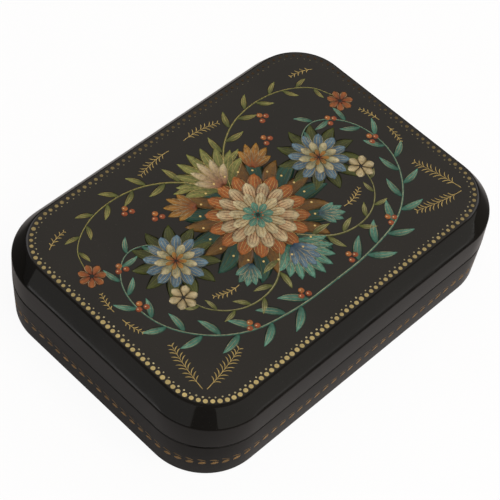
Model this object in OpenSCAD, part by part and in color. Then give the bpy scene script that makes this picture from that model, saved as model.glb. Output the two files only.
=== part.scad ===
// Hinged lacquer box of papier-mache: wound walls, pressed boards and a brass knuckle hinge.
// Millimetres. The origin is the middle of the underside, +Z is up and the hinge is at the back, +Y.

/* [Box] */
// Length of the box, side to side
box_l = 145; // [120:1:180]
// Depth of the box, front to back
box_w = 104; // [86:1:130]
// Radius of the four upright corners
corner_r = 22; // [14:0.5:28]
// Height of the base, from the table to the seam
base_h = 17.2; // [12:0.1:26]
// Height of the lid, from the seam to its flat top
lid_h = 16.6; // [14:0.1:24]

/* [Walls and boards] */
// Thickness of the base's wall at the seam
wall = 4.4; // [4.2:0.1:6]
// How far the foot of the base stands inside its seam
base_lean = 0.8; // [0:0.1:1.2]
// Rounding of the foot
foot_r = 0.9; // [0.4:0.1:1.2]
// Thickness of the bottom board
floor_t = 4; // [3:0.1:5]
// Width of the rebate that the bottom board is glued into
rebate = 1.4; // [1:0.1:1.6]
// Chamfer of the two edges that meet at the seam
seam_edge = 0.6; // [0.2:0.05:0.8]
// Gap between the lid and the base when the lid is shut
seam_gap = 0.12; // [0.05:0.01:0.3]

/* [Lid moulding] */
// Height of the wound ring under the lid's board
lid_ring_h = 9.6; // [9:0.1:12]
// Thickness of the lid's board over the middle
ceiling_t = 4.6; // [3:0.1:6]
// Width of the shoulder, seen from above
shoulder_w = 4.5; // [3:0.1:8]
// Height of the shoulder, seen from the side
shoulder_h = 6.2; // [3:0.1:6.5]
// Rise of the shoulder's curve over a straight bevel
shoulder_bulge = 0.12; // [0.08:0.02:1.1]

/* [Inner rim] */
// Thickness of the rim that lines the base
rim_t = 1.4; // [1:0.1:2.2]
// How far the rim stands over the seam, into the lid
rim_up = 2.4; // [1.5:0.1:3.2]
// Clearance between the rim and the lid's ring
rim_gap = 0.35; // [0.25:0.05:0.6]

/* [Hinge] */
// Length of the hinge's barrel
hinge_l = 44; // [30:1:64]
// Number of knuckles, odd: the base's leaf has one more than the lid's
knuckles = 5; // [3:2:7]
// Outer radius of the barrel
barrel_r = 1.5; // [1.3:0.05:1.6]
// Distance from the box's back to the hinge axis
axis_in = 1.6; // [1.55:0.05:1.8]
// Radius of the hinge pin
pin_r = 0.7; // [0.5:0.05:0.8]
// Thickness of a leaf
leaf_t = 0.6; // [0.4:0.05:0.7]
// Depth of a leaf in its slot, from the hinge axis
leaf_h = 7; // [5:0.1:8]
// Angle at which the bevels at the back meet and stop the lid
stop_angle = 101; // [95:1:120]
// Number of nails in a leaf
nails = 4; // [2:1:6]
// Radius of a nail
nail_r = 0.45; // [0.35:0.05:0.5]

/* [Hidden] */
$fn = 96;

black = [0.17, 0.16, 0.15];
red = [0.62, 0.09, 0.06];
brass = [0.76, 0.6, 0.3];

glue = 0.05;
running = 0.05;
knuckle_gap = 0.15;
slot_clear = 0.1;
nail_clear = 0.02;
groove_clear = 0.25;
past_end = 0.3;
over = 1;

lid_z = base_h + seam_gap;
top_z = lid_z + lid_h;
board_z = lid_z + lid_ring_h;
axis_y = box_w / 2 - axis_in;
axis_z = base_h + seam_gap / 2;
groove_r = barrel_r + groove_clear;
knuckle_l = hinge_l / knuckles;
leaf_front = axis_y - barrel_r;
lid_ring_t = wall + glue - rim_gap;
nail_drop_part = 0.68;
nail_span_part = 0.8;
nail_drop = leaf_h * nail_drop_part;
nail_span = hinge_l * nail_span_part;
nail_l = 3.1;
nail_head_r = 0.85;
nail_head_t = 0.3;

// Shoulder: an arc from the edge of the flat top down to the upright side, both ends on one circle.
shoulder_chord = norm([shoulder_w, shoulder_h]);
shoulder_r = (shoulder_chord * shoulder_chord / 4 + shoulder_bulge * shoulder_bulge)
    / (2 * shoulder_bulge);
shoulder_back = shoulder_r - shoulder_bulge;
shoulder_cx = -shoulder_w / 2 - shoulder_back * shoulder_h / shoulder_chord;
shoulder_cy = top_z - shoulder_h / 2 - shoulder_back * shoulder_w / shoulder_chord;

// Carries a profile round the box. In the profile, x runs outward from the outline and y is height.
module around_the_box(inset = 0) {
    l = box_l - 2 * inset;
    w = box_w - 2 * inset;
    r = corner_r - inset;
    for (side = [0, 180]) {
        rotate([0, 0, side]) {
            translate([l / 2 - r, w / 2 - r, 0]) rotate_extrude(angle = 90) translate([r, 0]) children();
            translate([-l / 2 + r, w / 2 - r, 0]) rotate([0, 0, 90])
                rotate_extrude(angle = 90) translate([r, 0]) children();
            translate([l / 2, w / 2 - r, 0]) rotate([90, 0, 0]) linear_extrude(w - 2 * r) children();
            translate([-l / 2 + r, w / 2, 0]) rotate([90, 0, 90]) linear_extrude(l - 2 * r) children();
        }
    }
}

// Rounded rectangle that follows the outline at an inset.
module outline(inset) {
    l = box_l - 2 * inset;
    w = box_w - 2 * inset;
    r = corner_r - inset;
    square([l, w - 2 * r], center = true);
    square([l - 2 * r, w], center = true);
    for (x = [-1, 1], y = [-1, 1]) translate([x * (l / 2 - r), y * (w / 2 - r)]) circle(r);
}

// Wedge taken off the back edges along the hinge axis, so that the lid can swing back.
module back_bevel(up) {
    rise = tan(stop_angle / 2) * (axis_in + over);
    translate([-box_l / 2, axis_y, axis_z]) rotate([90, 0, 90]) linear_extrude(box_l)
        polygon([[0, 0], [axis_in + over, 0], [axis_in + over, up * rise]]);
}

// Round groove that the hinge's barrel lies in.
module barrel_groove() {
    translate([-hinge_l / 2 - over, axis_y, axis_z]) rotate([0, 90, 0])
        cylinder(r = groove_r, h = hinge_l + 2 * over);
}

// Slot that a leaf is pushed into. up is 1 for the lid and -1 for the base.
module leaf_slot(up) {
    depth = leaf_h + slot_clear;
    translate([-hinge_l / 2 - slot_clear, leaf_front - slot_clear, up > 0 ? axis_z : axis_z - depth])
        cube([hinge_l + 2 * slot_clear, leaf_t + 2 * slot_clear, depth]);
}

// Places its children at each nail of a leaf, with +Z of the children running to the back.
module at_nails(up, y) {
    for (i = [0 : nails - 1])
        translate([nail_span * (i / (nails - 1) - 0.5), y, axis_z + up * nail_drop])
            rotate([-90, 0, 0]) children();
}

// Wound wall of the base, with the rebate for the bottom board inside its foot.
module base_wall() {
    color(black) difference() {
        around_the_box() {
            polygon([
                [-wall, floor_t], [-wall, base_h], [-seam_edge, base_h], [0, base_h - seam_edge],
                [-base_lean, foot_r], [-base_lean - foot_r, foot_r],
                [-base_lean - foot_r, 0], [-wall + rebate, 0], [-wall + rebate, floor_t]
            ]);
            intersection() {
                translate([-base_lean - foot_r, foot_r]) circle(foot_r);
                translate([-base_lean - foot_r, 0]) square(foot_r);
            }
        }
        back_bevel(-1);
        barrel_groove();
        leaf_slot(-1);
        at_nails(-1, box_w / 2 - wall - over) cylinder(r = nail_r + nail_clear, h = nail_l + over);
    }
}

// Pressed board glued into the foot of the wall.
module base_bottom() {
    color(black) linear_extrude(floor_t - glue) outline(wall - rebate + glue);
}

// Thin wound rim that lines the base and stands over the seam to centre the lid.
module inner_rim() {
    color(red) around_the_box(wall + glue) {
        translate([-rim_t, floor_t]) square([rim_t, base_h + rim_up - rim_t / 2 - floor_t]);
        intersection() {
            translate([-rim_t / 2, base_h + rim_up - rim_t / 2]) circle(rim_t / 2);
            translate([-rim_t, base_h + rim_up - rim_t / 2]) square([rim_t, rim_t]);
        }
    }
}

// Wound ring of the lid.
module lid_wall() {
    color(black) difference() {
        around_the_box() polygon([
            [-lid_ring_t, lid_z], [-seam_edge, lid_z], [0, lid_z + seam_edge],
            [0, board_z], [-lid_ring_t, board_z]
        ]);
        back_bevel(1);
        barrel_groove();
        leaf_slot(1);
        at_nails(1, box_w / 2 - lid_ring_t - over) cylinder(r = nail_r + nail_clear, h = nail_l + over);
    }
}

// What the moulding tool takes off the board's edge: a corner block, less the circle of the shoulder.
// The block's own sides lie inside the circle, so that only the arc and the board's faces meet.
module shoulder_cut() {
    inside = 0.2;
    difference() {
        translate([-shoulder_w - inside, top_z - shoulder_h - inside])
            square([shoulder_w + inside + over, shoulder_h + inside + over]);
        translate([shoulder_cx, shoulder_cy]) circle(shoulder_r);
    }
}

// Pressed lid board with its moulded shoulder, hollowed a little over the box.
module lid_top() {
    board_h = top_z - board_z;
    flat_w = 4;
    moulding_w = shoulder_w + flat_w;
    lap = flat_w / 2;
    color(black) difference() {
        union() {
            around_the_box() difference() {
                translate([-moulding_w, board_z]) square([moulding_w, board_h]);
                shoulder_cut();
            }
            translate([0, 0, board_z]) linear_extrude(board_h) outline(moulding_w - lap);
        }
        translate([0, 0, board_z - over]) linear_extrude(board_h - ceiling_t + over) outline(lid_ring_t);
    }
}

// One leaf: a plate in its slot and the knuckles first, first + 2 and so on, bored for the pin.
module hinge_leaf(up, first) {
    color(brass) difference() {
        union() {
            translate([-hinge_l / 2, leaf_front, up > 0 ? axis_z : axis_z - leaf_h])
                cube([hinge_l, leaf_t, leaf_h]);
            for (k = [first : 2 : knuckles - 1]) knuckle(k, barrel_r, -knuckle_gap / 2);
        }
        for (k = [1 - first : 2 : knuckles - 1]) knuckle(k, groove_r, knuckle_gap / 2);
        translate([-hinge_l / 2 - over, axis_y, axis_z]) rotate([0, 90, 0])
            cylinder(r = pin_r + running, h = hinge_l + 2 * over);
        at_nails(up, leaf_front - over) cylinder(r = nail_r + running, h = leaf_t + 2 * over);
    }
}

// Knuckle number k of the barrel, grown by extra at both ends. The barrel's own ends stay where they
// are, or are cut well past when a knuckle is being cleared away.
module knuckle(k, r, extra) {
    end = extra > 0 ? past_end : 0;
    low = -hinge_l / 2 + k * knuckle_l - (k == 0 ? end : extra);
    high = -hinge_l / 2 + (k + 1) * knuckle_l + (k == knuckles - 1 ? end : extra);
    translate([low, axis_y, axis_z]) rotate([0, 90, 0]) cylinder(r = r, h = high - low);
}

// Brass leaf in the base, with the outer knuckles.
module hinge_leaf_base() {
    hinge_leaf(-1, 0);
}

// Brass leaf in the lid, with the knuckles between them.
module hinge_leaf_lid() {
    hinge_leaf(1, 1);
}

// Brass pin through all the knuckles, its ends spread over the barrel.
module hinge_pin() {
    head_t = 0.4;
    head_edge = 0.35;
    head_r = pin_r + head_edge;
    color(brass) {
        translate([-hinge_l / 2 - running - head_t / 2, axis_y, axis_z]) rotate([0, 90, 0])
            cylinder(r = pin_r, h = hinge_l + 2 * running + head_t);
        for (side = [-1, 1])
            translate([side * (hinge_l / 2 + running + head_t / 2) - head_t / 2, axis_y, axis_z])
                rotate([0, 90, 0]) cylinder(r = head_r, h = head_t);
    }
}

// Brass nails of the base's leaf, flush with the wall behind the inner rim.
module base_hinge_nails() {
    color(brass) at_nails(-1, box_w / 2 - wall) cylinder(r = nail_r, h = nail_l - over / 2);
}

// Brass nails of the lid's leaf, their heads on the inside of the lid's ring.
module lid_hinge_nails() {
    color(brass) at_nails(1, box_w / 2 - lid_ring_t) {
        translate([0, 0, -nail_head_t]) cylinder(r = nail_head_r, h = nail_head_t);
        cylinder(r = nail_r, h = nail_l - over / 2);
    }
}

base_wall();
base_bottom();
inner_rim();
lid_wall();
lid_top();
hinge_leaf_base();
hinge_leaf_lid();
hinge_pin();
base_hinge_nails();
lid_hinge_nails();
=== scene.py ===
import math

import bpy
import numpy as np
from mathutils import Matrix, Vector


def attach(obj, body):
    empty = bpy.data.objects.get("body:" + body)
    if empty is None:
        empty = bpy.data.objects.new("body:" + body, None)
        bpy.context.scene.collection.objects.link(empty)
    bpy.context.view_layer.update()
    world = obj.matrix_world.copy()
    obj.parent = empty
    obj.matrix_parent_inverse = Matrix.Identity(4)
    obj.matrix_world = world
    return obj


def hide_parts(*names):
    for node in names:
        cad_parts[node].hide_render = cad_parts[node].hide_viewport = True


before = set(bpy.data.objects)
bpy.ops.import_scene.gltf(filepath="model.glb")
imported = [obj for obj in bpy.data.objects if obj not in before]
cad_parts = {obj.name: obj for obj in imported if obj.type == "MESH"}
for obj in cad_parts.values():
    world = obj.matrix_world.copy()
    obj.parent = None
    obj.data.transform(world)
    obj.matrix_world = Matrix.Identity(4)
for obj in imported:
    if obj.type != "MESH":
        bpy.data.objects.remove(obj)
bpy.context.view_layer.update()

# Camera and studio.
# The box stands on a white table, seen from above its front left corner through a long lens.
# Sizes of the object are in millimetres, and times MM where Blender takes metres.
MM = 0.001
CAMERA_AZIMUTH, CAMERA_ELEVATION, CAMERA_ROLL = -140.917, 52.575, 7.84
CAMERA_PLACE = Vector((-277.83, -224.37, 481.34)) * MM
LENS, SENSOR, FAR_CLIP = 126.3, 36, 20


def direction(azimuth, elevation):
    """Unit vector at an azimuth, counted from +X, and an elevation, in degrees."""
    a, e = math.radians(azimuth), math.radians(elevation)
    return Vector((math.cos(e) * math.cos(a), math.cos(e) * math.sin(a), math.sin(e)))


def add_camera():
    """Camera whose picture's right and up are turned by the roll about its line of sight."""
    back = direction(CAMERA_AZIMUTH, CAMERA_ELEVATION)
    level = (-back).cross(Vector((0, 0, 1))).normalized()
    upright = level.cross(-back)
    roll = math.radians(CAMERA_ROLL)
    right = math.cos(roll) * level + math.sin(roll) * upright
    up = math.cos(roll) * upright - math.sin(roll) * level
    camera = bpy.data.objects.new("camera", bpy.data.cameras.new("camera"))
    camera.data.lens = LENS
    camera.data.sensor_width = SENSOR
    camera.data.clip_end = FAR_CLIP
    turn = Matrix((right, up, back)).transposed().to_4x4()
    camera.matrix_world = Matrix.Translation(CAMERA_PLACE) @ turn
    bpy.context.scene.collection.objects.link(camera)
    bpy.context.scene.camera = camera


class Value:
    """A socket of a material's nodes. Arithmetic on it adds Math nodes."""

    def __init__(self, finish, socket):
        self.finish, self.socket = finish, socket

    def math(self, operation, a, b):
        return self.finish.add("ShaderNodeMath", {"operation": operation}, {0: a, 1: b})

    def __add__(self, other):
        return self.math("ADD", self, other)

    def __sub__(self, other):
        return self.math("SUBTRACT", self, other)

    def __rsub__(self, other):
        return self.math("SUBTRACT", other, self)

    def __mul__(self, other):
        return self.math("MULTIPLY", self, other)

    def __gt__(self, other):
        return self.math("GREATER_THAN", self, other)

    __radd__ = __add__
    __rmul__ = __mul__


class Finish:
    """A tree of shader nodes, for a material or for the world."""

    def __init__(self, owner):
        owner.use_nodes = True
        self.owner, self.tree = owner, owner.node_tree
        self.tree.nodes.clear()

    def add(self, kind, settings={}, inputs={}, output=0):
        """Adds a node: its settings first, then the values or links of its sockets."""
        node = self.tree.nodes.new(kind)
        for name, value in settings.items():
            setattr(node, name, value)
        for name, value in inputs.items():
            if isinstance(value, Value):
                self.tree.links.new(value.socket, node.inputs[name])
            elif value is not None:
                node.inputs[name].default_value = value
        return Value(self, node.outputs[output]) if node.outputs else None

    def place(self):
        """Object coordinates, in metres."""
        return self.add("ShaderNodeTexCoord", output="Object")

    def stretched(self, scale, turn=(0, 0, 0)):
        """Object coordinates in millimetres, times one scale or a scale for each axis, turned."""
        size = tuple(s / MM for s in np.broadcast_to(scale, 3))
        return self.add("ShaderNodeMapping", {}, {"Vector": self.place(), "Scale": size, "Rotation": turn})

    def noise(self, scale, detail, roughness=0.55, turn=(0, 0, 0)):
        """Noise whose patches are about one millimetre over the scale wide."""
        where = self.stretched(scale, turn)
        inputs = {"Vector": where, "Scale": 1.0, "Detail": detail, "Roughness": roughness}
        return self.add("ShaderNodeTexNoise", {}, inputs)

    def between(self, value, low, high, to_low=0.0, to_high=1.0):
        """Value carried from low..high to to_low..to_high, smoothly, and held at both ends."""
        inputs = {"Value": value, "From Min": low, "From Max": high, "To Min": to_low, "To Max": to_high}
        return self.add("ShaderNodeMapRange", {"interpolation_type": "SMOOTHSTEP"}, inputs)

    def mix(self, factor, a, b, blend="MIX"):
        """Colour a where the factor is 0, and b, or b blended with a, where it is 1."""
        settings = {"data_type": "RGBA", "blend_type": blend}
        return self.add("ShaderNodeMix", settings, {0: factor, 6: a, 7: b}, output=2)

    def bump(self, height, distance, normal=None):
        """Normal of a surface raised by a height, 0 to 1, times a distance in metres."""
        inputs = {"Height": height, "Distance": distance, "Strength": 1.0, "Normal": normal}
        return self.add("ShaderNodeBump", {}, inputs)

    def surface(self, **inputs):
        """Principled shader to the material's output. Underscores in names stand for spaces."""
        inputs = {name.replace("_", " "): value for name, value in inputs.items()}
        shader = self.add("ShaderNodeBsdfPrincipled", {}, inputs)
        self.add("ShaderNodeOutputMaterial", {}, {"Surface": shader})
        return self.owner


def paint(code):
    """Linear colour with alpha from a painter's six-figure hexadecimal code."""
    parts = np.array([int(code[i : i + 2], 16) / 255 for i in (0, 2, 4)])
    linear = np.where(parts <= 0.04045, parts / 12.92, ((parts + 0.055) / 1.055) ** 2.4)
    return (*linear, 1.0)


WHITE = (1, 1, 1, 1)
CARD, CARD_GRAIN, TABLE_BROWN = (0.40, 0.375, 0.365, 1), (0.43, 0.40, 0.385, 1), (0.1, 0.095, 0.09, 1)
CARD_OVAL, CARD_EDGE, TABLE_EDGE = (0.85 * MM, 1.0 * MM, 0.0), 0.086, 0.13
LIFT_SHARE, LIFT_BRIGHTNESS = 0.82, 1.14


def table_finish():
    """Matt pale card, an oval under the object, on a dark table that only the object's gloss and
    the light thrown up on it show. The camera sees card all over, lifted to white, with the
    shadow kept."""
    f = Finish(bpy.data.materials.new("white_table"))
    oval = f.stretched(CARD_OVAL)
    away = f.add("ShaderNodeVectorMath", {"operation": "LENGTH"}, {0: oval}, output=1)
    card = f.mix(f.noise(0.02, 4.0), CARD, CARD_GRAIN)
    seen = f.add("ShaderNodeLightPath", output="Is Camera Ray")
    bare = f.between(away, CARD_EDGE, TABLE_EDGE) * (1 - seen)
    matt = f.add("ShaderNodeBsdfDiffuse", {}, {"Color": f.mix(bare, card, TABLE_BROWN)})
    white = f.add("ShaderNodeEmission", {}, {"Color": WHITE, "Strength": LIFT_BRIGHTNESS})
    through = f.add("ShaderNodeLightPath", output="Is Transmission Ray")
    both = f.add("ShaderNodeMixShader", {}, {0: (seen + through) * LIFT_SHARE, 1: matt, 2: white})
    f.add("ShaderNodeOutputMaterial", {}, {"Surface": both})
    return f.owner


ROOM_GREY = (0.085, 0.085, 0.088, 1)


def studio_world():
    """White behind the table for the eye, a dim even room for everything else, and a little of
    the white for gloss that looks below the horizon."""
    f = Finish(bpy.context.scene.world or bpy.data.worlds.new("studio"))
    bpy.context.scene.world = f.owner
    seen = f.add("ShaderNodeLightPath", output="Is Camera Ray")
    through = f.add("ShaderNodeLightPath", output="Is Transmission Ray")
    glossy = f.add("ShaderNodeLightPath", output="Is Glossy Ray")
    way = f.add("ShaderNodeTexCoord", output="Generated")
    height = f.add("ShaderNodeSeparateXYZ", {}, {0: way}, output=2)
    low = f.between(height, 0.0, -0.02, 0.0, 0.3)
    held = {"operation": "ADD", "use_clamp": True}
    factor = f.add("ShaderNodeMath", held, {0: seen + through, 1: glossy * low})
    colour = f.mix(factor, ROOM_GREY, WHITE)
    back = f.add("ShaderNodeBackground", {}, {"Color": colour, "Strength": 1.0})
    f.add("ShaderNodeOutputWorld", {}, {"Surface": back})


def soft_light(name, azimuth, elevation, distance, wide, high, brightness, tint=(1, 1, 1), glint=True):
    """Soft box that faces the object from a distance in metres. Its power is its brightness times
    pi times its area. Without glint it lights the object and isn't reflected in it."""
    lamp = bpy.data.objects.new(name, bpy.data.lights.new(name, "AREA"))
    lamp.data.shape = "RECTANGLE"
    lamp.data.size, lamp.data.size_y = wide, high
    lamp.data.energy = brightness * math.pi * wide * high
    lamp.data.color = tint
    lamp.visible_camera = False
    lamp.visible_glossy = glint
    to_lamp = direction(azimuth, elevation)
    turn = (-to_lamp).to_track_quat("-Z", "Y").to_matrix().to_4x4()
    lamp.matrix_world = Matrix.Translation(to_lamp * distance) @ turn
    bpy.context.scene.collection.objects.link(lamp)


def add_table():
    """White table far wider than the picture, a hair below the object's foot."""
    half, top = 4.0, -0.05 * MM
    mesh = bpy.data.meshes.new("table")
    corners = [(-half, -half, top), (half, -half, top), (half, half, top), (-half, half, top)]
    mesh.from_pydata(corners, [], [(0, 1, 2, 3)])
    mesh.materials.append(table_finish())
    table = bpy.data.objects.new("table", mesh)
    bpy.context.scene.collection.objects.link(table)


add_camera()
add_table()
studio_world()
WARM, IVORY, COOL = (1.0, 0.91, 0.79), (1.0, 0.98, 0.9), (0.97, 0.95, 1.0)
# Boxes and panels fill the gloss of the top, the shoulder and the walls. The strips draw the
# fine light lines along the creases. The last two light the paint and the gold.
soft_light("back_right_box", azimuth=39, elevation=46, distance=1.3, wide=1.3,
           high=0.95, brightness=0.66, tint=WARM)
soft_light("front_right_box", azimuth=-76, elevation=20.5, distance=1.3, wide=2.5,
           high=0.92, brightness=0.43, tint=IVORY)
soft_light("front_left_box", azimuth=177, elevation=19.5, distance=1.3, wide=1.4,
           high=0.86, brightness=0.37, tint=(1.0, 0.98, 0.93))
soft_light("left_low_strip", azimuth=178, elevation=3.9, distance=1.2, wide=1.2,
           high=0.025, brightness=0.95)
soft_light("left_high_strip", azimuth=188, elevation=47, distance=1.2, wide=0.8,
           high=0.03, brightness=1.3)
soft_light("front_low_strip", azimuth=-72, elevation=1.5, distance=1.2, wide=1.3,
           high=0.03, brightness=0.34)
soft_light("back_left_panel", azimuth=82, elevation=43, distance=1.2, wide=0.46,
           high=0.56, brightness=1.25, tint=COOL)
soft_light("right_panel", azimuth=0, elevation=40, distance=1.2, wide=0.46,
           high=0.56, brightness=1.25, tint=COOL)
soft_light("left_fill_panel", azimuth=170, elevation=52, distance=1.35, wide=0.9,
           high=0.8, brightness=0.5, glint=False)
soft_light("key_umbrella", azimuth=-90, elevation=60, distance=1.3, wide=0.8,
           high=0.8, brightness=4.3, glint=False)
bpy.context.scene.view_settings.view_transform = "Standard"


# Base wall.
# Wound papier-mache, glued strip on strip round a wooden block, oiled, baked and turned with a
# slight lean to the foot, then given many polished coats of black lacquer.
BOX_L, BOX_W, CORNER_R = 145.0, 104.0, 22.0
BASE_H, FOOT_R, BASE_LEAN = 17.2, 0.9, 0.8
WALL, FLOOR_T, REBATE = 4.4, 4.0, 1.4
REBATE_R, SEAM_EDGE = 0.1, 0.6
EDGE_START, EDGE_STEP = 0.8, 0.2
AXIS_Y, AXIS_Z = 50.4, 17.26
GROOVE_R, GROOVE_X, GROOVE_END, HALF_STOP = 1.75, 23.0, 0.02, math.radians(50.5)
CORNER_STEPS, LONG_STEPS, SHORT_STEPS = 25, 33, 17
FLAT_CORNER, SAME_POINT, SHARP = math.radians(89.9), 1e-4, math.radians(30)


def stations():
    """Places round the box: skeleton point and outward normal. The four corners are quarter
    circles about the skeleton's corners, and the straights between them have even steps, with
    more stations where the hinge's groove ends."""
    hx, hy = BOX_L / 2 - CORNER_R, BOX_W / 2 - CORNER_R
    turn = np.linspace(0, math.pi / 2, CORNER_STEPS)
    long_side = np.linspace(1, -1, LONG_STEPS)[1:-1] * hx
    groove = np.array([GROOVE_X + GROOVE_END, GROOVE_X, -GROOVE_X, -GROOVE_X - GROOVE_END])
    long_side = np.sort(np.concatenate([long_side, groove]))[::-1]
    short_side = np.linspace(1, -1, SHORT_STEPS)[1:-1] * hy
    xs, ys, angles = [], [], []
    sides = [(hx, hy, 0), (-hx, hy, 1), (-hx, -hy, 2), (hx, -hy, 3)]
    for x, y, quarter in sides:
        start = quarter * math.pi / 2
        run = long_side if quarter % 2 == 0 else short_side
        run = run if quarter < 2 else -run
        xs += [np.full(turn.size, x), run if quarter % 2 == 0 else np.full(run.size, x)]
        ys += [np.full(turn.size, y), np.full(run.size, y) if quarter % 2 == 0 else run]
        angles += [start + turn, np.full(run.size, start + math.pi / 2)]
    x, y, angle = np.concatenate(xs), np.concatenate(ys), np.concatenate(angles)
    return x, y, np.cos(angle), np.sin(angle)


def rounded(corners, closed, steps=7):
    """Profile with its corners rounded. A corner of radius r at half angle a starts r / tan(a)
    before it and its centre lies r / sin(a) along the bisector. corners: inset, height, radius."""
    corners = np.array(corners, float)
    p, r = corners[:, 0] + 1j * corners[:, 1], corners[:, 2]
    before, after = np.roll(p, 1) - p, np.roll(p, -1) - p
    if not closed:
        before[0], after[-1] = -after[0], -before[-1]
    before, after = before / abs(before), after / abs(after)
    half = abs(np.angle(after / before)) / 2
    straight = half > FLAT_CORNER
    r = np.where(straight, 0, r)
    bisector = np.where(straight, 1j * before, before + after)
    centre = p + bisector / abs(bisector) * r / np.sin(half)
    reach = np.where(straight, 0, r / np.tan(half))
    start, end = p + before * reach - centre, p + after * reach - centre
    sweep = np.angle(np.where(r > 0, end / np.where(r > 0, start, 1), 1))
    k = np.linspace(0, 1, steps)
    arc = (centre[:, None] + start[:, None] * np.exp(1j * sweep[:, None] * k)).ravel()
    far = abs(arc - np.roll(arc, 1)) > SAME_POINT
    far[0] = True
    arc = arc[far]
    return arc.real, arc.imag


def shell(name, corners, closed, shape=None, inner=None):
    """Mesh of a profile carried round the box. x = skeleton x + normal x * (corner radius -
    inset), y likewise, z = height. A profile that isn't closed gets a flat face at each end, and
    one whose inner(inset, height) is given has its second material where that holds."""
    inset, height = rounded(corners, closed)
    x, y, nx, ny = stations()
    reach = CORNER_R - inset
    grid = np.stack(np.broadcast_arrays(
        x[:, None] + nx[:, None] * reach, y[:, None] + ny[:, None] * reach, height[None]), -1)
    if shape:
        grid[..., 2] = shape(grid[..., 0], grid[..., 1], grid[..., 2])
    around, along = grid.shape[:2]
    i = np.arange(around)[:, None]
    j = np.arange(along if closed else along - 1)[None]
    i2, j2 = (i + 1) % around, (j + 1) % along
    quads = np.stack([i * along + j, i * along + j2, i2 * along + j2, i2 * along + j], -1)
    faces = quads.reshape(-1, 4).tolist()
    if not closed:
        faces.append((np.arange(around) * along).tolist())
        faces.append((np.arange(around)[::-1] * along + along - 1).tolist())
    mesh = bpy.data.meshes.new(name)
    mesh.from_pydata((grid.reshape(-1, 3) * MM).tolist(), [], faces)
    mesh.shade_smooth()
    mesh.set_sharp_from_angle(angle=SHARP)
    if inner:
        middle = np.stack([(inset + np.roll(inset, -1)) / 2, (height + np.roll(height, -1)) / 2])
        red = inner(*middle)[: j.size]
        index = np.broadcast_to(red, (around, j.size)).astype(int).ravel().tolist()
        # The flat faces of a board: its top is black, its ceiling red.
        index += [] if closed else [0, 1]
        mesh.polygons.foreach_set("material_index", index)
    piece = bpy.data.objects.new(name, mesh)
    bpy.context.scene.collection.objects.link(piece)
    return piece


def add_polish(f, depth, fine):
    """Hand-polished lacquer: slow waves left by the pumice block, and a few hairline rubs."""
    waves = f.noise(0.055, 2.0, 0.4)
    rubs = f.noise((0.25, 4.0, 0.9), 2.0, 0.6, turn=(0.0, 0.0, 0.5))
    slow = f.bump(waves, depth * MM)
    return f.bump(rubs, fine * MM, slow)


def black_lacquer():
    """Black lacquer, faintly brown in its depth, with soft smudges in its gloss."""
    f = Finish(bpy.data.materials.new("black_lacquer"))
    cloud = f.noise(0.03, 4.0)
    specks = f.noise(2.2, 1.0)
    deep, shallow, speck = (0.0092, 0.0080, 0.0066, 1), (0.0125, 0.0105, 0.0085, 1), (0.05, 0.045, 0.04, 1)
    colour = f.mix(f.between(cloud, 0.35, 0.7), deep, shallow)
    colour = f.mix(f.between(specks, 0.70, 0.78, 0.0, 0.35), colour, speck)
    smudge = f.noise(0.12, 5.0, 0.6)
    roughness = f.between(smudge, 0.35, 0.75, 0.05, 0.13)
    return f.surface(Base_Color=colour, Roughness=roughness, IOR=1.42, Normal=add_polish(f, 0.05, 0.0006))


CINNABAR, CINNABAR_LIGHT, CINNABAR_THIN = paint("a61e13"), paint("b2251a"), paint("8e170f")


def red_lacquer():
    """Cinnabar red over papier-mache, brushed thinner than the black and a little cloudy."""
    f = Finish(bpy.data.materials.new("red_lacquer"))
    cloud = f.noise(0.06, 4.0)
    brush = f.noise((0.15, 2.5, 2.5), 3.0)
    colour = f.mix(f.between(cloud, 0.3, 0.7), CINNABAR, CINNABAR_LIGHT)
    colour = f.mix(f.between(brush, 0.45, 0.75, 0.0, 0.25), colour, CINNABAR_THIN)
    roughness = f.between(cloud, 0.3, 0.7, 0.09, 0.14)
    return f.surface(Base_Color=colour, Roughness=roughness, IOR=1.45, Normal=add_polish(f, 0.04, 0.001))


BLACK = black_lacquer()
RED = red_lacquer()


def opened(side):
    """Raises (side 1) or lowers (side -1) a wall's edge to clear the bevel of the back and the
    groove of the hinge: the bevel rises by tan(half the stop angle) past the hinge axis."""

    def shape(x, y, z):
        out = y - AXIS_Y
        bevel = np.where(out > 0, math.tan(HALF_STOP) * out, 0)
        round_cut = np.sqrt(np.clip(GROOVE_R**2 - out**2, 0, None))
        cut = np.maximum(bevel, np.where(abs(x) < GROOVE_X + GROOVE_END / 2, round_cut, 0))
        clear = AXIS_Z + side * cut
        near = (y > AXIS_Y - GROOVE_R) & (cut > 0)
        return np.where(near, np.maximum(z, clear) if side > 0 else np.minimum(z, clear), z)

    return shape


def base_profile():
    """Corners of the base's wall: seam, lean, rounded foot, rebate, inside, and its top edge in
    small steps that the hinge's groove can shape."""
    last = EDGE_START - EDGE_STEP / 4
    top = [(inset, BASE_H, 0) for inset in np.arange(WALL - EDGE_STEP, last, -EDGE_STEP)]
    outside = [(0, BASE_H, SEAM_EDGE), (BASE_LEAN, 0, FOOT_R)]
    rebate = [(WALL - REBATE, 0, REBATE_R), (WALL - REBATE, FLOOR_T, 0)]
    inside = [(WALL, FLOOR_T, 0), (WALL, BASE_H, 0)]
    return outside + rebate + inside + top


base_wall = shell("base_wall_lacquered", base_profile(), True, shape=opened(-1))
base_wall.data.materials.append(BLACK)
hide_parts("base_wall")
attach(base_wall, "base")


# Bottom board.
# Pressed board glued into the wall's rebate, black below and red where it is the box's floor.
PARTING = 2.0


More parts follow.
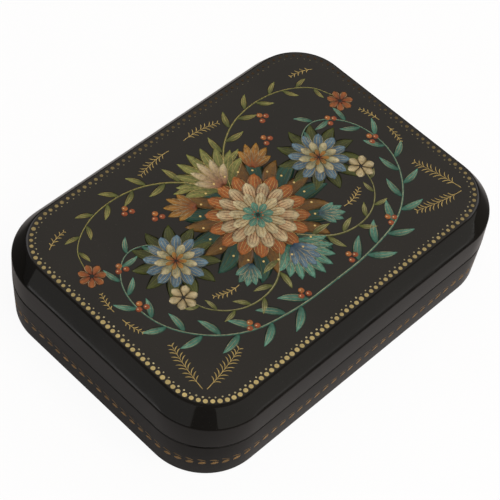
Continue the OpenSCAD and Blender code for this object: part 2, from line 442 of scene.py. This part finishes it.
def board_finish():
    """The two lacquers of the board, parted inside its thickness."""
    f = Finish(bpy.data.materials.new("board_black_and_red"))
    height = f.add("ShaderNodeSeparateXYZ", {}, {0: f.place()}, output=2)
    inside = height > PARTING * MM
    cloud = f.noise(0.06, 4.0)
    red = f.mix(f.between(cloud, 0.3, 0.7), CINNABAR, CINNABAR_LIGHT)
    colour = f.mix(inside, (0.0105, 0.0092, 0.0077, 1), red)
    roughness = f.between(cloud, 0.3, 0.7, 0.09, 0.14)
    return f.surface(Base_Color=colour, Roughness=roughness, IOR=1.45, Normal=add_polish(f, 0.04, 0.001))


def recoat(node, finish):
    """Gives a carried-over CAD node its finish."""
    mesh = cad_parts[node].data
    mesh.materials.clear()
    mesh.materials.append(finish)


recoat("base_bottom", board_finish())


# Inner rim.
# A thin wound band glued inside the base, standing over the seam to centre the lid. All red.
RIM_T, RIM_TOP, RIM_R, GLUE = 1.4, 19.6, 0.68, 0.05
rim_out, rim_in = WALL + GLUE, WALL + GLUE + RIM_T
rim = [(rim_out, RIM_TOP, RIM_R), (rim_out, FLOOR_T, 0), (rim_in, FLOOR_T, 0), (rim_in, RIM_TOP, RIM_R)]
inner_rim = shell("inner_rim_lacquered", rim, True)
inner_rim.data.materials.append(RED)
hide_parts("inner_rim")
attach(inner_rim, "base")


# Lid wall.
# The lid's wound ring, flush with the board glued on it. Black outside and below, red within.
LID_Z, BOARD_Z, TOP_Z = 17.32, 26.92, 33.92
RING_T, RING_R, NEAR = 4.1, 0.15, 0.1


def inside_ring(inset, z):
    """Where the ring is red: on its inner face."""
    return inset > RING_T - NEAR


ring = [(0, LID_Z, SEAM_EDGE)]
ring += [(inset, LID_Z, 0) for inset in np.arange(EDGE_START, RING_T - NEAR, EDGE_STEP)]
ring += [(RING_T, LID_Z, RING_R), (RING_T, BOARD_Z, 0), (0, BOARD_Z, 0)]
lid_wall = shell("lid_wall_lacquered", ring[::-1], True, shape=opened(1), inner=inside_ring)
lid_wall.data.materials.append(BLACK)
lid_wall.data.materials.append(RED)
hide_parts("lid_wall")
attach(lid_wall, "lid")


# Lid board.
# Pressed board with a moulded shoulder, rubbed down so that its edges are soft under the lacquer.
SHOULDER_W, SHOULDER_H, CEILING = 4.65, 6.4, 29.32
PAINT_ROOM, FLAT_IN, CEILING_R, SWELL_R = 0.05, 12, 0.8, 12
LACQUER_TOP = TOP_Z - PAINT_ROOM
CREASE_R, LOWER_R, BULGE = 1.5, 1.65, 0.07
# The slope bulges outwards by 4 t (1 - t) times the bulge, t being the share of the way down.
down = np.linspace(0.25, 0.75, 5)
swell_out = BULGE * 4 * down * (1 - down) / math.hypot(SHOULDER_W, SHOULDER_H)
swollen = [(SHOULDER_W * (1 - t) - SHOULDER_H * b, LACQUER_TOP - SHOULDER_H * t + SHOULDER_W * b, SWELL_R)
           for t, b in zip(down, swell_out)]
board = [
    (FLAT_IN, LACQUER_TOP, 0), (SHOULDER_W, LACQUER_TOP, CREASE_R), *swollen,
    (0, TOP_Z - SHOULDER_H, LOWER_R), (0, BOARD_Z, 0), (RING_T, BOARD_Z, 0),
    (RING_T, CEILING, CEILING_R), (FLAT_IN, CEILING, 0),
]


def inside_board(inset, z):
    """Where the board is red: on its ceiling and on the step up to it, inside the ring."""
    return (inset > RING_T - NEAR) & (z < CEILING + NEAR)


lid_top = shell("lid_top_lacquered", board, False, inner=inside_board)
lid_top.data.materials.append(BLACK)
lid_top.data.materials.append(RED)
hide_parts("lid_top")
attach(lid_top, "lid")


# Hinge.
# Drawn brass: two leaves pushed into slots, their knuckles on one pin, and nails through both.
def hinge_brass():
    """Brass drawn along the hinge, dulled in patches, with fine lines along its length."""
    f = Finish(bpy.data.materials.new("hinge_brass"))
    lines = f.noise((0.15, 6.0, 6.0), 3.0)
    dull = f.noise(0.5, 4.0)
    colour = f.mix(f.between(dull, 0.4, 0.7), paint("dcb874"), paint("a8834a"))
    roughness = f.between(dull, 0.35, 0.7, 0.24, 0.42)
    normal = f.bump(lines, 0.0012 * MM)
    return f.surface(Base_Color=colour, Metallic=1.0, Roughness=roughness, Normal=normal)


BRASS = hinge_brass()
for node in ("hinge_leaf_base", "hinge_leaf_lid", "hinge_pin", "base_hinge_nails", "lid_hinge_nails"):
    recoat(node, BRASS)


# Gold border of the lid.
# Drops of powdered gold set by the brush round the flat top, with a small pale dot over each gap.
DOTS, DOT_R, DOT_INSET, DOT_CORNER = 176, 0.79, 6.4, 15.6
PALE_R, PALE_IN, PALE_HEIGHT = 0.33, 1.35, 0.03
DOT_HEIGHT, CROWD = 0.045, 0.067
rng = np.random.default_rng(7)


def rgb(code):
    """The same colour as an array without alpha."""
    return np.array(paint(code)[:3])


def along_border(share, inset=DOT_INSET, corner=DOT_CORNER, inward=0.0):
    """Points at shares of the way round a rounded rectangle, from the front left corner: four
    straights and four quarter circles, set inward by a distance. Returns x, y and the normal."""
    hx, hy = BOX_L / 2 - inset - corner, BOX_W / 2 - inset - corner
    arc = corner * math.pi / 2
    lengths = np.array([2 * hx, arc, 2 * hy, arc] * 2)
    ends = np.concatenate([[0], np.cumsum(lengths)])
    s = (share % 1) * ends[-1]
    part = np.searchsorted(ends, s, side="right") - 1
    t = (s - ends[part]) / lengths[part]
    start_x = np.array([-hx, hx, hx, hx, hx, -hx, -hx, -hx])[part]
    start_y = np.array([-hy, -hy, -hy, hy, hy, hy, hy, -hy])[part]
    step = part % 4
    run = np.where(step == 0, 1, 0) * t * 2 * hx, np.where(step == 2, 1, 0) * t * 2 * hy
    sign = np.where(part < 4, 1, -1)
    angle = np.array([-90, -90, 0, 0, 90, 90, 180, 180])[part] + np.where(part % 2 == 1, t * 90, 0)
    nx, ny = np.cos(np.radians(angle)), np.sin(np.radians(angle))
    reach = corner - inward
    return start_x + sign * run[0] + nx * reach, start_y + sign * run[1] + ny * reach, nx, ny


def paint_mesh(name, points, faces, colours, finish, slot, body):
    """Piece of paint: points in millimetres, faces and one colour for each point."""
    mesh = bpy.data.meshes.new(name)
    mesh.from_pydata((points.reshape(-1, 3) * MM).tolist(), [], faces)
    layer = mesh.color_attributes.new("paint", "FLOAT_COLOR", "POINT")
    rgba = np.concatenate([colours.reshape(-1, 3), np.ones((points.size // 3, 1))], 1)
    layer.data.foreach_set("color", rgba.ravel())
    mesh.shade_smooth()
    mesh.materials.append(finish)
    piece = bpy.data.objects.new(name, mesh)
    bpy.context.scene.collection.objects.link(piece)
    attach(piece, body)
    return piece


def drops(x, y, radius, height, colour, middle_shade, around=14):
    """Closed drops of paint on the lid: rings of growing radius on a crown that falls to the
    lacquer, with a small dip in the middle, over a flat underside. Their colours hold painted shade:
    darker on the falling rim and the underside, and the middle times the shade given for it, painted
    shade below 1 and a painted highlight above it. Returns points, faces, colours."""
    rings = np.array([0.0, 0.34, 0.72, 0.93, 1.0])
    crown = np.array([0.9, 0.97, 1.0, 0.62, 0.0])
    angle = np.arange(around) / around * 2 * math.pi
    n = x.size
    ring = rings[None, 1:, None] * radius[:, None, None]
    px = x[:, None, None] + ring * np.cos(angle)
    py = y[:, None, None] + ring * np.sin(angle)
    pz = LACQUER_TOP + (crown[1:] * height)[None, :, None] + 0 * px
    middle = np.stack([x, y, np.full(n, LACQUER_TOP + crown[0] * height)], -1)[:, None]
    under = np.stack([x, y, np.full(n, LACQUER_TOP - 0.01)], -1)[:, None]
    skin = np.stack([px, py, pz], -1).reshape(n, -1, 3)
    points = np.concatenate([middle, skin, under], 1)
    # Painted shade and highlight: the middle times its given shade, the rim and the underside darker.
    shade = np.concatenate([[middle_shade], np.repeat([0.5 + middle_shade / 2, 1, 0.9, 0.6], around), [0.6]])
    colours = colour[:, None] * shade[None, :, None]
    k = np.arange(around)
    nxt = (k + 1) % around
    dome = np.stack([0 * k, 1 + k, 1 + nxt], -1).tolist()
    bands = [np.stack([1 + b * around + k, 1 + (b + 1) * around + k,
                       1 + (b + 1) * around + nxt, 1 + b * around + nxt], -1).tolist() for b in range(3)]
    last = 1 + 3 * around
    close = np.stack([last + k, 0 * k + last + around, last + nxt], -1).tolist()
    one = dome + sum(bands, []) + close
    size = points.shape[1]
    faces = [[v + i * size for v in face] for i in range(n) for face in one]
    return points, faces, colours


THIN_GOLD = (0.09, 0.05, 0.02, 1)
GOLD_GLINT = (1.4, 1.35, 1.25, 1)


def gold_paint(name, glint, roughness, metallic):
    """Powdered gold in gum, burnished: grains of differing brightness under clear lacquer, with
    brown where the powder lies thin."""
    f = Finish(bpy.data.materials.new(name))
    tone = f.add("ShaderNodeAttribute", {"attribute_name": "paint"})
    grains = f.noise(7.0, 2.0)
    thin = f.noise(0.9, 3.0)
    bright = f.mix(1.0, tone, glint, "MULTIPLY")
    colour = f.mix(f.between(grains, 0.35, 0.7), tone, bright)
    colour = f.mix(f.between(thin, 0.55, 0.8, 0.0, 0.35), colour, THIN_GOLD)
    rough = f.between(grains, 0.3, 0.7, roughness - 0.08, roughness + 0.1)
    return f.surface(Base_Color=colour, Metallic=metallic, Roughness=rough, IOR=1.45,
                     Normal=f.bump(grains, 0.006 * MM))


def hand_set(count, offset, inward, wander):
    """Shares round the border, each moved a little as a hand would. Even shares are pulled by
    their sine, so that they are closer at the front and left than at the back and right."""
    share = (np.arange(count) + offset) / count
    share = share - CROWD * np.sin(2 * math.pi * share) / (2 * math.pi)
    x, y = along_border(share, inward=inward)[:2]
    return x + rng.normal(0, wander, count), y + rng.normal(0, wander, count)


GOLD = gold_paint("gold_drops", GOLD_GLINT, 0.42, 0.4)
# The second gold is the first in painted shade, for the far corner of the border.
NEAR_GOLD, SHADED_FAR_GOLD, PALE_GOLD = rgb("c6b27a"), rgb("3c2c18"), rgb("b8ac86")
dot_x, dot_y = hand_set(DOTS, 0.0, 0.0, 0.045)
# From 0 at the near left corner to 1 at the far right: painted shade there, and smaller drops.
far_shade_and_shrink = np.clip(0.5 + (dot_x / BOX_L + 0.9 * dot_y / BOX_W) * 0.85, 0, 1)[:, None]
dot_r = DOT_R * (1.03 - 0.3 * far_shade_and_shrink[:, 0]) * rng.normal(1, 0.05, DOTS)
# Painted shade: the drops go from the bright gold near the front to the shaded gold at the far corner.
dot_colour = NEAR_GOLD * (1 - far_shade_and_shrink) + SHADED_FAR_GOLD * far_shade_and_shrink
dot_colour = dot_colour * rng.normal(1, 0.07, (DOTS, 1))
gold_drops = drops(dot_x, dot_y, dot_r, DOT_HEIGHT, dot_colour, 0.92)
paint_mesh("lid_gold_drops", *gold_drops, GOLD, "gold_paint", "lid")
pale_x, pale_y = hand_set(DOTS, 0.5, PALE_IN, 0.06)
pale_r = PALE_R * (1 - 0.3 * far_shade_and_shrink[:, 0]) * rng.normal(1, 0.13, DOTS)
# Painted shade dims the pale dots towards the far corner as well.
pale_colour = PALE_GOLD * (1 - 0.75 * far_shade_and_shrink) * rng.normal(1, 0.1, (DOTS, 1))
pale_drops = drops(pale_x, pale_y, pale_r, PALE_HEIGHT, pale_colour, 0.9, 10)
paint_mesh("lid_pale_dots", *pale_drops, GOLD, "gold_paint", "lid")


# Ornament of the lid.
# Body colours in egg tempera for leaves and petals, shaded wet, then drawn over with fine lines
# of pale tempera and gold. Thin as it is, each stroke stands a little over the lacquer.
def on_lid(a, b, lift):
    """Point on the lid's flat top: a to the right, b to the back."""
    return np.stack([a, b, LACQUER_TOP + lift], -1)


class Picture:
    """Strokes of one paint, gathered into one mesh. Its place turns a, b and lift to a point."""

    def __init__(self, place=on_lid):
        self.place, self.points, self.faces, self.colours, self.count = place, [], [], [], 0

    def ribbon(self, line, half, colour, lift, across=4, edge=0.7, side=0.0, height=0.012):
        """Strokes along lines. A point is line + normal * half width * u, lifted by height times
        the root of 1 - u squared; u runs from -1 to 1 and the underside is flat. The colour
        falls to edge at the rims and leans to one side. line: strokes, steps, 2."""
        slope = np.gradient(line, axis=1)
        slope = slope / np.maximum(np.linalg.norm(slope, axis=-1, keepdims=True), 1e-9)
        normal = np.stack([-slope[..., 1], slope[..., 0]], -1)
        u = np.linspace(-1, 1, across + 1)
        spot = line[:, :, None] + normal[:, :, None] * half[:, :, None, None] * u[:, None]
        rise = lift + height * np.sqrt(1 - u**2) + 0 * spot[..., 0]
        xyz = self.place(spot[..., 0], spot[..., 1], rise)
        shade = (1 - (1 - edge) * u**2) * (1 + side * u)
        tone = np.broadcast_to(colour[:, :, None] * shade[:, None], (*rise.shape, 3))
        n, m, k = rise.shape
        grid = np.arange(m * k).reshape(m, k)
        top = np.stack([grid[:-1, :-1], grid[1:, :-1], grid[1:, 1:], grid[:-1, 1:]], -1)
        under = np.stack([grid[:-1, 0], grid[:-1, -1], grid[1:, -1], grid[1:, 0]], -1)
        one = top.reshape(-1, 4)[:, ::-1].tolist() + under[:, ::-1].tolist()
        one += [grid[0].tolist(), grid[-1, ::-1].tolist()]
        starts = self.count + np.arange(n) * m * k
        self.faces += [[v + start for v in face] for start in starts.tolist() for face in one]
        self.points.append(xyz.reshape(-1, 3))
        self.colours.append(np.clip(tone, 0, 1).reshape(-1, 3))
        self.count += n * m * k

    def finish(self, name, finish, slot, body):
        """One piece of all the strokes."""
        points, colours = np.concatenate(self.points), np.concatenate(self.colours)
        return paint_mesh(name, points, self.faces, colours, finish, slot, body)


def curve(p0, p1, p2, steps):
    """Quadratic curve: (1 - t)^2 p0 + 2 t (1 - t) p1 + t^2 p2."""
    t = np.linspace(0, 1, steps)[:, None]
    p0, p1, p2 = (p[:, None] for p in (p0, p1, p2))
    return (1 - t) ** 2 * p0 + 2 * t * (1 - t) * p1 + t**2 * p2


def swell(steps, late, blunt):
    """Width along a stroke, 0 to 1: sine of pi t^late, to the power blunt."""
    t = np.linspace(0, 1, steps)
    return np.maximum(np.sin(math.pi * t**late) ** blunt, 0.04)


RAY_SPREAD, RAY_HALF, RAY_LIFT, RAY_HEIGHT = 0.72, 0.085, 0.014, 0.004


def blades(body, lines, p0, p1, p2, width, root, tip, vein, lift, late=0.8, blunt=0.8, rays=3, steps=10):
    """Leaves or petals along quadratic curves: a body shaded from root to tip, then pale rays of
    the vein's colour that follow it at shares of its half width, from a quarter of the way on."""
    n = len(p0)
    line = curve(p0, p1, p2, steps)
    form = swell(steps, late, blunt)
    t = np.linspace(0, 1, steps)[:, None]
    tone = rng.normal(1, 0.08, (n, 1, 1))
    colour = (root * (1 - t) + tip * t) * tone
    half = width[:, None] * form
    body.ribbon(line, half, colour, lift, edge=0.45, side=0.22)
    if rays:
        slope = np.gradient(line, axis=1)
        slope = slope / np.linalg.norm(slope, axis=-1, keepdims=True)
        normal = np.stack([-slope[..., 1], slope[..., 0]], -1)
        share = np.linspace(-RAY_SPREAD, RAY_SPREAD, rays)
        start, stop = int(steps * 0.25), steps - 1
        spread = line[:, None] + normal[:, None] * (half[:, None, :, None] * share[:, None, None])
        spread = spread[:, :, start:stop].reshape(n * rays, stop - start, 2)
        thin = (RAY_HALF * swell(stop - start, 0.9, 0.6))[None] * rng.uniform(0.7, 1.2, (n * rays, 1))
        fade = np.linspace(0.35, 1.0, stop - start)[:, None] * vein
        fade = np.broadcast_to(fade, (n * rays, stop - start, 3))
        lines.ribbon(spread, thin, fade, lift + RAY_LIFT, across=2, edge=0.9, height=RAY_HEIGHT)


def flower(body, lines, centre, count, inner, outer, width, root, tip, vein, lift,
           phase=0.0, bend=0.0, late=1.5, blunt=0.6, rays=4):
    """Ring of petals from an inner to an outer radius, bent a little round the flower. A petal
    is widest late along it, and blunt widens both its ends."""
    a = phase + np.arange(count) / count * 2 * math.pi

    def spoke(r, turn):
        return centre + r * np.stack([np.cos(a + turn), np.sin(a + turn)], -1)

    p0, p1, p2 = spoke(inner, 0), spoke((inner + outer) / 2, bend), spoke(outer, bend * 0.6)
    blades(body, lines, p0, p1, p2, np.full(count, width), root, tip, vein, lift, late, blunt, rays)


def fan(body, lines, foot, heading, spread, count, length, width, root, tip, vein, lift, rays=3):
    """Blades that open from one foot like a hand fan, the middle one longest."""
    share = np.linspace(-1, 1, count)
    a = math.radians(heading) + share * math.radians(spread)
    reach = length * (1 - 0.25 * share**2)
    ray = np.stack([np.cos(a), np.sin(a)], -1)
    across = np.stack([-np.sin(a), np.cos(a)], -1)
    p0 = foot + ray * length * 0.08
    p1 = foot + ray * (reach * 0.55)[:, None] - across * (share * length * 0.08)[:, None]
    p2 = foot + ray * reach[:, None]
    order = np.argsort(-abs(share))
    widths = np.full(count, width)
    blades(body, lines, p0[order], p1[order], p2[order], widths, root, tip, vein, lift, 1.1, 0.7, rays)


def stem(points, steps):
    """Smooth line through a stem's bends: each corner is cut at its quarters four times, then the
    line is divided evenly by its length."""
    line = np.array(points, float)
    for _ in range(4):
        cut = np.stack([0.75 * line[:-1] + 0.25 * line[1:], 0.25 * line[:-1] + 0.75 * line[1:]], 1)
        line = np.concatenate([line[:1], cut.reshape(-1, 2), line[-1:]])
    far = np.concatenate([[0], np.cumsum(np.linalg.norm(np.diff(line, axis=0), axis=1))])
    even = np.linspace(0, far[-1], steps)
    return np.stack([np.interp(even, far, line[:, i]) for i in range(2)], -1)


STEM_HALF, LIGHT_HALF, STEM_STEPS = 0.5, 0.1, 60
LEAF_LEAN, LEAF_BEND, LEAF_AHEAD, LEAF_WIDTH, LAST_LEAF = 0.95, 0.62, 0.35, 0.2, 0.62


def leafy_stem(body, lines, points, leaves, size, root, tip, vein, lift):
    """Stem with a light line on it and leaves on alternate sides, on both halves of the lid. A
    leaf leans out by an angle and bends ahead, and the leaves get shorter towards the tip."""
    for mirror in (1, -1):
        line = stem(points, STEM_STEPS) * (mirror, 1)
        taper = np.linspace(1, 0.35, STEM_STEPS)
        green = np.linspace(0.8, 1.1, STEM_STEPS)[:, None] * (root + tip) / 2
        light = (vein * np.ones((STEM_STEPS, 1)))[None]
        body.ribbon(line[None], STEM_HALF * taper[None], green[None], lift, edge=0.6)
        lines.ribbon(line[None] + (LIGHT_HALF, LIGHT_HALF), LIGHT_HALF * taper[None], light,
                     lift + RAY_LIFT, across=2, height=RAY_HEIGHT)
        at = np.linspace(6, STEM_STEPS - 7, leaves).astype(int)
        slope = line[at + 2] - line[at - 2]
        heading = np.arctan2(slope[:, 1], slope[:, 0])
        side = np.where(np.arange(leaves) % 2 == 0, 1, -1) * mirror
        long = size * np.linspace(1.0, LAST_LEAF, leaves)
        out = heading + side * LEAF_LEAN
        ray = np.stack([np.cos(out), np.sin(out)], -1)
        ahead = np.stack([np.cos(heading), np.sin(heading)], -1)
        p0 = line[at]
        p2 = p0 + ray * long[:, None] + ahead * (long * LEAF_AHEAD)[:, None]
        p1 = p0 + ray * (long * LEAF_BEND)[:, None]
        blades(body, lines, p0, p1, p2, long * LEAF_WIDTH, root, tip, vein, lift + 0.003, 0.85, 0.8, 3)


STALK_HALF, COMMA_HALF, COMMA_OUT, COMMA_STEPS = 0.14, 0.19, 0.9, 9


def twig(lines, foot, heading, length, turn, colour, lift):
    """Gold twig. Its heading turns evenly along it, and pairs of comma strokes lean forward from
    it, one pair for about two millimetres, shorter towards the tip."""
    steps, pairs = 40, int(length * 0.5) + 1
    share = np.linspace(0, 1, steps)
    way = math.radians(heading) + math.radians(turn) * share
    line = foot + np.cumsum(np.stack([np.cos(way), np.sin(way)], -1), axis=0) * length / steps
    stalk = STALK_HALF * np.linspace(1, 0.5, steps)[None]
    gold = np.broadcast_to(colour, (1, steps, 3))
    lines.ribbon(line[None], stalk, gold, lift, across=2, edge=0.9, height=0.006)
    at = np.repeat(np.linspace(6, steps - 3, pairs).astype(int), 2)
    side = np.tile([1.0, -1.0], pairs)
    long = (0.8 + length * 0.12) * np.repeat(np.sin(np.linspace(0.9, 2.6, pairs)), 2)[:, None]
    ahead = np.stack([np.cos(way[at]), np.sin(way[at])], -1)
    out = np.stack([np.cos(way[at] + side * COMMA_OUT), np.sin(way[at] + side * COMMA_OUT)], -1)
    bend = line[at] + ahead * long * 0.5 + out * long * 0.2
    comma = curve(line[at], bend, line[at] + ahead * long * 0.15 + out * long, COMMA_STEPS)
    width = COMMA_HALF * np.ones((2 * pairs, 1)) * swell(COMMA_STEPS, 1.5, 0.8)
    gold = np.broadcast_to(colour * 0.85, (2 * pairs, COMMA_STEPS, 3))
    lines.ribbon(comma, width, gold, lift + 0.004, across=2, edge=0.85, height=0.008)


def tempera():
    """Egg tempera in thin coats: brushed grain, a little unevenness, gloss of the lacquer over it."""
    f = Finish(bpy.data.materials.new("tempera"))
    tone = f.add("ShaderNodeAttribute", {"attribute_name": "paint"})
    mottle = f.noise(0.8, 5.0, 0.65)
    grain = f.noise(5.0, 2.0)
    worn_to, brushed = (0.016, 0.014, 0.011, 1), (1.5, 1.4, 1.25, 1)
    colour = f.mix(f.between(mottle, 0.42, 0.75, 0.0, 0.55), tone, worn_to)
    lit = f.mix(1.0, colour, brushed, "MULTIPLY")
    colour = f.mix(f.between(grain, 0.45, 0.75), colour, lit)
    rough = f.between(mottle, 0.3, 0.7, 0.12, 0.26)
    return f.surface(Base_Color=colour, Roughness=rough, IOR=1.42, Normal=f.bump(grain, 0.003 * MM))


TEAL, SEA, OLIVE, MOSS = rgb("285a4a"), rgb("649882"), rgb("49501f"), rgb("8c8c4c")
CREAM, SAND, OCHRE, RUST = rgb("cfbf96"), rgb("a28a5e"), rgb("a87a30"), rgb("7c3a1b")
ORANGE, NIGHT, SKY, GOLD_LINE = rgb("a8622c"), rgb("233a4e"), rgb("6a8696"), rgb("ddc07a")
body, lines, gilt = Picture(), Picture(), Picture()


def both(x, y):
    """Two like places, on the right and the left half of the lid."""
    return [np.array((x, y), float), np.array((-x, y), float)]


# A flower's numbers: its petals, their inner and outer radius and half width; after the colours of
# root, tip and veins, its lift, first angle and bend, then how late and how blunt its petals swell.
# Long dark leaves lie under the flowers.
middle = np.zeros(2)
flower(body, lines, middle, 12, 12, 27.5, 3.4, TEAL * 0.25, TEAL * 0.8, MOSS * 0.6,
       0.001, 0.13, 0.3, 0.9, 0.8)
flower(body, lines, middle, 12, 10, 24.5, 3.2, RUST * 0.3, OCHRE * 0.5, SAND * 0.6,
       0.002, 0.39, 0.25, 0.9, 0.8)
for centre in both(33, 4):
    flower(body, lines, centre, 11, 4, 14.6, 2.5, OLIVE * 0.3, OLIVE, MOSS * 0.7, 0.003, 0.2, 0.35, 0.9, 0.8)

# A stem's numbers: its bends, then its leaves and the length of the first.
long_stem = [(0, -35), (16, -35), (38, -31), (54, -14), (55, 6), (44, 18), (33, 14), (33, 6)]
leafy_stem(body, lines, long_stem, 17, 8.5, TEAL, SEA, CREAM, 0.002)
upper_stem = [(0, 12), (8, 26), (22, 35), (40, 36), (54, 29), (57, 20)]
leafy_stem(body, lines, upper_stem, 12, 7.2, OLIVE, MOSS, GOLD_LINE, 0.002)
lower_stem = [(4, -14), (14, -24), (28, -25), (38, -18), (41, -9)]
leafy_stem(body, lines, lower_stem, 8, 6.4, OLIVE, MOSS, CREAM, 0.003)
for centre in both(33, 4):
    flower(body, lines, centre, 12, 2, 10.5, 2.3, NIGHT, SKY, CREAM, 0.008, 0.1, 0.25)
    flower(body, lines, centre, 9, 1, 7.0, 1.7, TEAL, CREAM, GOLD_LINE, 0.016, 0.3, 0.25)
    flower(body, lines, centre, 7, 0.4, 3.6, 1.0, RUST, OCHRE, GOLD_LINE, 0.024, 0.0, 0.2, rays=2)
for centre in both(57, 17):
    flower(body, lines, centre, 7, 0.6, 4.6, 1.5, RUST, ORANGE, CREAM, 0.01, 0.2, 0.2, rays=2)
for centre in both(41, -8):
    flower(body, lines, centre, 6, 0.6, 4.8, 1.7, SAND, CREAM, GOLD_LINE, 0.01, 0.5, 0.2, rays=2)
# A fan's numbers: its foot, heading and spread in degrees, blades, their length and half width.
for mirror, heading in ((1, 38), (-1, 142)):
    fan(body, lines, np.array((12.0 * mirror, 15.0)), heading, 38, 5, 12, 1.9, RUST, OCHRE, CREAM, 0.006)
    fan(body, lines, np.array((15.0 * mirror, -12.0)), -heading, 34, 5, 10, 1.7, NIGHT, SEA, CREAM, 0.006)
fan(body, lines, np.array((0.0, 14.0)), 90, 62, 9, 20, 2.4, OLIVE, MOSS, GOLD_LINE, 0.004)
fan(body, lines, np.array((0.0, 15.0)), 90, 40, 5, 14, 2.2, RUST, CREAM, GOLD_LINE, 0.012)
fan(body, lines, np.array((0.0, -14.0)), -90, 58, 9, 17, 2.3, TEAL, SEA, CREAM, 0.004)
fan(body, lines, np.array((0.0, -15.0)), -90, 36, 5, 12, 2.1, NIGHT, SKY, CREAM, 0.012)
flower(body, lines, middle, 16, 6, 17.5, 3.3, RUST, ORANGE, GOLD_LINE, 0.008, 0.0, 0.12, rays=5)
flower(body, lines, middle, 14, 4, 13.8, 2.9, ORANGE, CREAM, RUST, 0.016, 0.1, 0.12, rays=5)
flower(body, lines, middle, 11, 2, 9.6, 2.6, SAND, CREAM, OCHRE, 0.022, 0.0, 0.12, rays=4)
flower(body, lines, middle, 8, 0.5, 5.4, 1.8, TEAL, SEA, CREAM, 0.028, 0.2, 0.15, rays=3)

# Twigs: foot, heading in degrees, length and how far each turns along it.
for x, y, heading, long, turn in (
    (60, -37, 97, 19, 10), (59.5, -37.5, 173, 19, -12), (61, 2, 91, 8, 20),
    (61, -1.5, -91, 8, -20), (3, 39, 4, 15, -22), (60.5, 33.5, 148, 9, 30), (24, -16, -8, 10, 40),
):
    for mirror in (1, -1):
        foot = np.array((x * mirror, y), float)
        twig(gilt, foot, heading if mirror > 0 else 180 - heading, long, turn * mirror, GOLD_LINE, 0.01)

TEMPERA = tempera()
GOLD_THREAD = gold_paint("gold_lines", GOLD_GLINT, 0.4, 0.4)
body.finish("lid_ornament_body", TEMPERA, "tempera", "lid")
lines.finish("lid_ornament_lines", TEMPERA, "tempera", "lid")
gilt.finish("lid_ornament_gold", GOLD_THREAD, "gold_paint", "lid")


# Berries of the ornament.
# Round touches of thick paint, each lit with a paler spot, in threes and round the big flower.
BERRY_R, SEED_R, SEED_RING, BERRY_HEIGHT = 1.05, 0.42, 1.65, 0.044
SPOT_R, SPOT_RING, SPOT_HEIGHT = 0.3, 18.9, 0.049
clusters = ((24, 20), (52, -3), (47, 12), (31, -31), (10, -33), (30, 28))
threes = np.array([(x + dx, y + dy) for x, y in clusters for dx, dy in ((0, 0), (2.5, 0.8), (1.0, 2.4))])
threes = np.concatenate([threes, threes * (-1, 1)])
angle = np.arange(24) / 24 * 2 * math.pi
seeds = angle[::3]
berry_x = np.concatenate([SEED_RING * np.cos(seeds), threes[:, 0]])
berry_y = np.concatenate([SEED_RING * np.sin(seeds), threes[:, 1]])
berry_r = np.repeat([SEED_R, BERRY_R], [seeds.size, len(threes)])
berry_tone = np.where(np.arange(berry_x.size)[:, None] % 3 == 1, ORANGE, RUST * 1.4)
# The middle of each berry is brightened, a painted highlight.
berries = drops(berry_x, berry_y, berry_r, BERRY_HEIGHT, berry_tone, 1.25)
paint_mesh("lid_berries", *berries, TEMPERA, "tempera", "lid")
spot_x = np.concatenate([SPOT_RING * np.cos(angle + 0.1), threes[:, 0] - 0.25])
spot_y = np.concatenate([SPOT_RING * np.sin(angle + 0.1), threes[:, 1] + 0.3])
spot_r = np.repeat([SEED_R, SPOT_R], [angle.size, len(threes)])
spot_tone = np.concatenate([np.tile(GOLD_LINE, (angle.size, 1)), np.tile(CREAM, (len(threes), 1))])
spots = drops(spot_x, spot_y, spot_r, SPOT_HEIGHT, spot_tone, 1.0, 10)
paint_mesh("lid_gold_spots", *spots, GOLD_THREAD, "gold_paint", "lid")


# Row of leaf strokes round the base.
# Thin gold brushed over the black: a slanted leaf about every four millimetres, with a hair stroke
# above it that starts where the leaf before it ends.
ROW_Z, ROW_COUNT = 7.3, 117
LEAF_HALF, LEAF_STEPS, LEAF_HEIGHT = 0.88, 9, 0.035
HAIR_HALF, HAIR_STEPS, HAIR_HEIGHT = 0.42, 7, 0.03
ROW_SUNK = -0.012
BASE_ROUND = 2 * (BOX_L + BOX_W) - 8 * CORNER_R + 2 * math.pi * CORNER_R
ROW_GLINT = (1.5, 1.4, 1.3, 1)


def on_base(a, b, lift):
    """Point on the base's leaning side: a in millimetres round its seam, b the height."""
    x, y, nx, ny = along_border(a / BASE_ROUND, 0.0, CORNER_R)
    out = lift - BASE_LEAN * (1 - b / BASE_H)
    return np.stack([x + nx * out, y + ny * out, b], -1)


row = Picture(on_base)
at = (np.arange(ROW_COUNT) + 0.5) * BASE_ROUND / ROW_COUNT + rng.normal(0, 0.08, ROW_COUNT)
height = ROW_Z + rng.normal(0, 0.07, ROW_COUNT)


def beside(dx, dy):
    """A point by each leaf: dx further round the base and dy higher."""
    return np.stack([at + dx, height + dy], -1)


leaf = curve(beside(-1.35, -0.35), beside(-0.2, 0.1), beside(1.3, 0.2), LEAF_STEPS)
leaf_tone = rgb("ac895a") * rng.normal(1, 0.12, (ROW_COUNT, 1, 1)) + np.zeros((1, LEAF_STEPS, 1))
leaf_half = LEAF_HALF * swell(LEAF_STEPS, 1.1, 0.7) * rng.normal(1, 0.08, (ROW_COUNT, 1))
row.ribbon(leaf, leaf_half, leaf_tone, ROW_SUNK, edge=0.6, height=LEAF_HEIGHT)
hair = curve(beside(-1.8, 2.1), beside(-0.4, 1.9), beside(1.3, 1.3), HAIR_STEPS)
hair_tone = rgb("856c48") * rng.normal(1, 0.15, (ROW_COUNT, 1, 1)) + np.zeros((1, HAIR_STEPS, 1))
hair_half = HAIR_HALF * swell(HAIR_STEPS, 1.0, 0.7) * rng.normal(1, 0.1, (ROW_COUNT, 1))
row.ribbon(hair, hair_half, hair_tone, ROW_SUNK, across=2, edge=0.7, height=HAIR_HEIGHT)
ROW_GOLD = gold_paint("gold_leaf_row", ROW_GLINT, 0.45, 0.3)
row.finish("base_leaf_strokes", ROW_GOLD, "gold_paint", "base")
